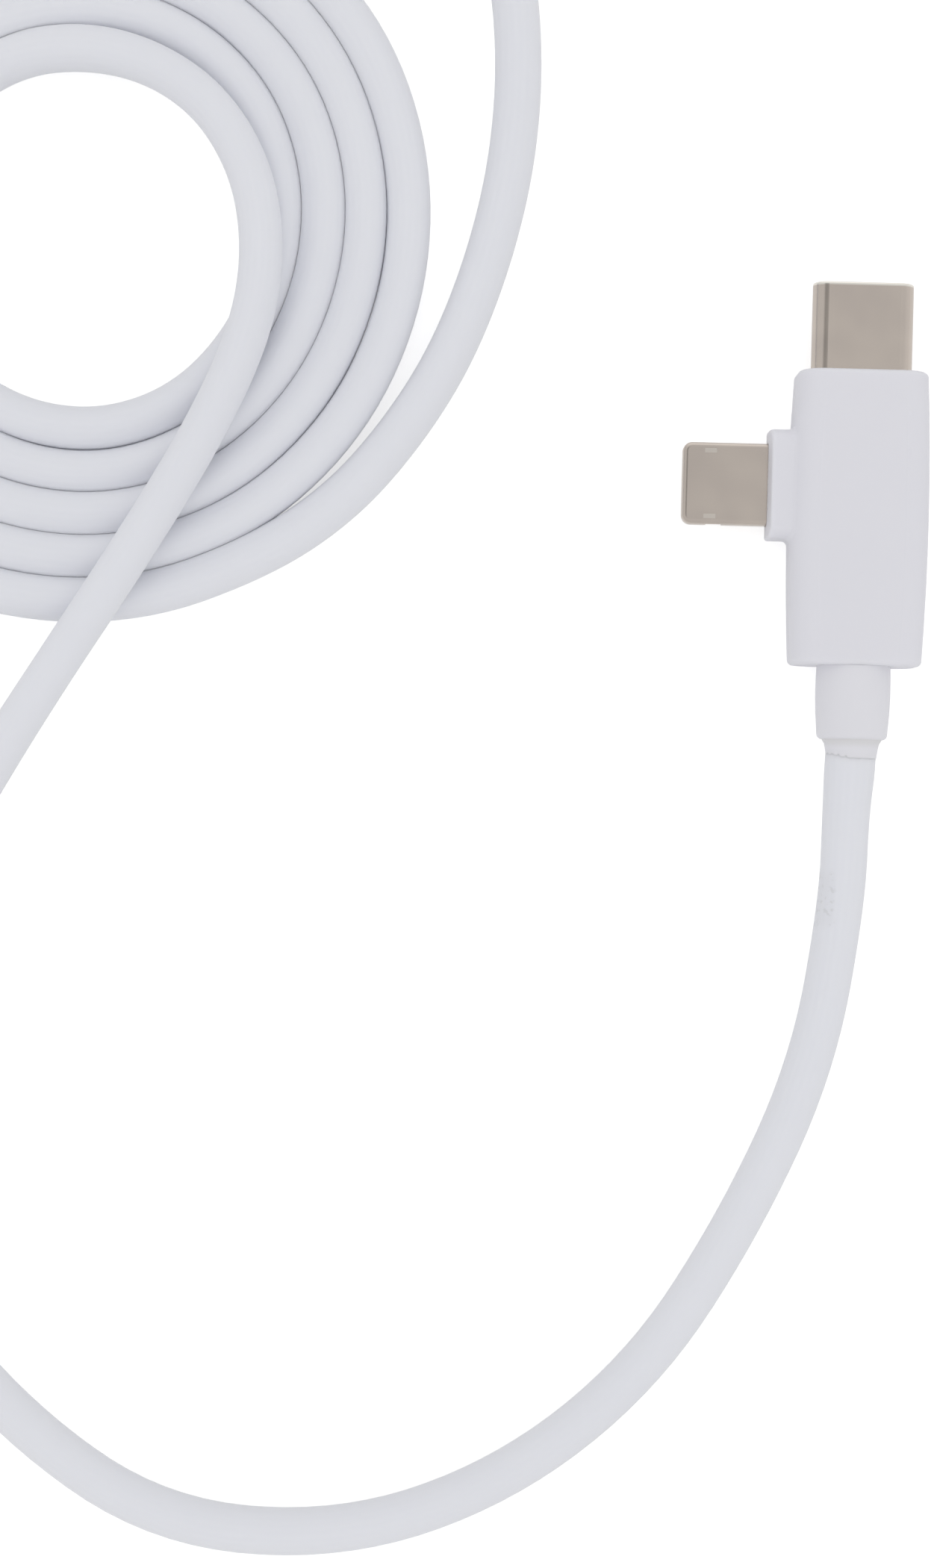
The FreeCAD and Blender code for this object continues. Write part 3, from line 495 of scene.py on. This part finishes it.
# Painted shade: the cone turns grey just past the sleeve's tip. It is strongest right below the tip and gone
# 0.8 mm on, standing in for the shade the tip casts there.
painted_shade = past_tip.ramp(-0.1 * mm, 0.05 * mm) * past_tip.ramp(painted_shade_end, 0.1 * mm)
relief.surface(
    relief.mix(painted_shade * painted_shade_strength, relief_unshaded, painted_shade_gray),
    0.46 + relief_grain * 0.10,
    **milky(0.35, 0.15 * mm),
    Normal=relief.bump(relief_grain * 0.5 + mould_line, 0.25, 0.02 * mm),
)
sleeve.data.materials.append(relief.material)
far_sleeve = bpy.data.objects.new("far_relief_sleeve", sleeve.data.copy())
bpy.context.collection.objects.link(far_sleeve)
far_low, far_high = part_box("far_lid")
far_middle = Vector(((far_low[0] + far_high[0]) / 2, (far_low[1] + far_high[1]) / 2, 0))
far_sleeve.data.transform(Matrix.Translation(far_middle) @ Matrix.Rotation(math.pi / 2, 4, "Z"))
for piece, node in ((sleeve, "strain_relief"), (far_sleeve, "far_strain_relief")):
    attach(piece, "root")
    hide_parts(node)

tinplate = Finish("crimp_steel")
patches = tinplate.noise(2400, 3)
tinplate.surface(
    tinplate.mix(patches, crimp_dull, crimp_bright),
    0.30 + patches * 0.2,
    Metallic=1.0,
    Normal=tinplate.bump(patches, 0.3, 0.02 * mm),
)
tinplate.dress("cord_crimp", "far_cord_crimp")

# Cord
# A round 3.8 mm cord with a soft white jacket, scuffed below the head. It leaves the head's sleeve, runs
# down and round, crosses over its own flat coil and drops inside it, and the coil's outermost turn leads on
# to the plug at the far end.
cord_radius = 1.9
lead_points = [
    (0.0, -6.85, 3.3),
    (0.0, -16.5, 3.3),
    (-0.05, -20.0, 3.3),
    (-0.25, -24.0, 2.9),
    (-0.25, -31.3, 2.1),
    (-2.3, -44.9, 1.9),
    (-8.1, -58.2, 1.9),
    (-15.7, -70.5, 1.9),
    (-26.8, -79.7, 1.9),
    (-40.1, -84.6, 1.9),
    (-55.0, -83.8, 1.9),
    (-67.2, -75.8, 1.9),
    (-76.8, -64.7, 1.9),
    (-81.2, -51.0, 1.9),
    (-78.5, -36.6, 1.9),
    (-71.8, -24.1, 2.2),
    (-65.9, -15.0, 4.8),
    (-59.9, -5.8, 6.0),
    (-54.7, 3.0, 5.9),
    (-51.25, 10.0, 5.8),
    (-49.4, 15.7, 5.7),
    (-49.0, 21.35, 5.6),
    (-50.2, 27.1, 5.3),
    (-53.4, 32.25, 4.8),
    (-58.1, 35.6, 4.1),
    (-63.6, 37.1, 3.4),
    (-69.5, 36.75, 2.3),
    (-74.6, 33.8, 1.9),
]
tail_points = [
    (-48.7, -4.05, 1.9),
    (-42.3, 0.5, 1.9),
    (-37.5, 6.2, 1.9),
    (-33.6, 12.7, 1.9),
    (-30.8, 20.3, 1.9),
    (-29.0, 28.4, 1.9),
    (-28.5, 36.8, 1.9),
    (-29.4, 45.2, 1.9),
    (-32.6, 53.2, 1.9),
    (-38.2, 59.1, 2.2),
    (-45.7, 61.7, 3.0),
    (-54.5, 62.4, 3.3),
    (-66.1, 62.4, 3.3),
]
# The coil is laid in half turns about two centres half a pitch apart, each half a pitch wider than the last.
# It isn't quite round: each half turn but the outermost bulges, some sway too, and some are tucked in.
coil_centre = Vector((-64.39, 21.64, 1.96))
coil_pitch, coil_radius, coil_halves, half_points = 3.53, 15.55, 9, 8
seam, step = math.radians(111.5), math.pi / half_points
bulge, bulge_turn = 0.23, math.radians(50)
sway, sway_turn, swaying_halves = 0.09, math.radians(37), (2, 3, 4, 5)
tuck, tucked_halves = 0.06, (4, 5, 6, 7)
# The cord's thickness, as a share of its own: free, lifted over the coil, wider where the sleeve lets it go,
# and in the coil snug against its neighbours, or loose at the points named by their half turn.
free, lifted, swollen, snug, loose = 1.01, 0.93, 1.12, 1.03, 0.95
lifted_height, swollen_point = 3.4, 2
loose_points = {0: range(half_points), 1: (0, 5), 2: (6, 7), 3: (0, 5), 5: range(4), 7: range(4)}
route = [(Vector(point), lifted if point[2] > lifted_height else free) for point in lead_points]
route[swollen_point] = (route[swollen_point][0], swollen)
for half in range(coil_halves):
    centre = coil_centre
    if half % 2 == 1:
        centre = coil_centre + Vector((math.cos(seam), math.sin(seam), 0)) * coil_pitch / 2
    for k in range(half_points):
        turn = seam + math.pi * half + step * (k + 0.5)
        radius = (coil_radius + coil_pitch / 2 * half) / math.cos(step / 2)
        if half < coil_halves - 1:
            radius += bulge * math.cos(3 * (turn - bulge_turn))
        if half in swaying_halves:
            radius += sway * math.cos(3 * (turn - sway_turn))
        if half in tucked_halves:
            radius -= tuck
        thickness = loose if k in loose_points.get(half, ()) else snug
        if half == coil_halves - 1:
            thickness = free
        if half > 0 or k > 0:
            route.append((centre + Vector((math.cos(turn), math.sin(turn), 0)) * radius, thickness))
route += [(Vector(point), free) for point in tail_points]
line = bpy.data.curves.new("cord", "CURVE")
line.dimensions = "3D"
spline = line.splines.new("NURBS")
spline.points.add(len(route) - 1)
for point, (place, thickness) in zip(spline.points, route):
    point.co = (*(place * mm), 1)
    point.radius = thickness
spline.order_u = 3
spline.use_endpoint_u = True
line.resolution_u = 8
line.bevel_depth = cord_radius * mm
line.bevel_resolution = 8
line.use_fill_caps = True
cord = bpy.data.objects.new("cord", line)
bpy.context.collection.objects.link(cord)

jacket_white, jacket_whiter = (0.822, 0.831, 0.876, 1), (0.842, 0.851, 0.896, 1)
scuff_gray, scuff_y, scuff_half_length = (0.60, 0.60, 0.60, 1), -31.0 * mm, 2.8 * mm
scuff_right, scuff_left = -0.9 * mm, -3.0 * mm
jacket = Finish("cord_jacket")
jacket_grain = jacket.noise(5200, 3)
sideways = jacket.axis("X")
scuffed = abs(jacket.axis("Y") - scuff_y).ramp(scuff_half_length, scuff_half_length - 1.2 * mm)
scuffed = scuffed * sideways.ramp(scuff_right, scuff_right - 0.5 * mm)
scuffed = scuffed * sideways.ramp(scuff_left, scuff_left + 0.4 * mm)
scuffed = scuffed * (0.10 + jacket.noise(2200, 2).ramp(0.56, 0.68) * 0.30)
jacket.surface(
    jacket.mix(scuffed, jacket.mix(jacket.noise(60, 2), jacket_white, jacket_whiter), scuff_gray),
    0.48 + jacket_grain * 0.08,
    **milky(1.0, 0.5 * mm),
    Normal=jacket.bump(jacket_grain, 0.12, 0.015 * mm),
)
cord.data.materials.append(jacket.material)
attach(cord, "root")
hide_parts("cord_lead", "cord_coil", "cord_tail")
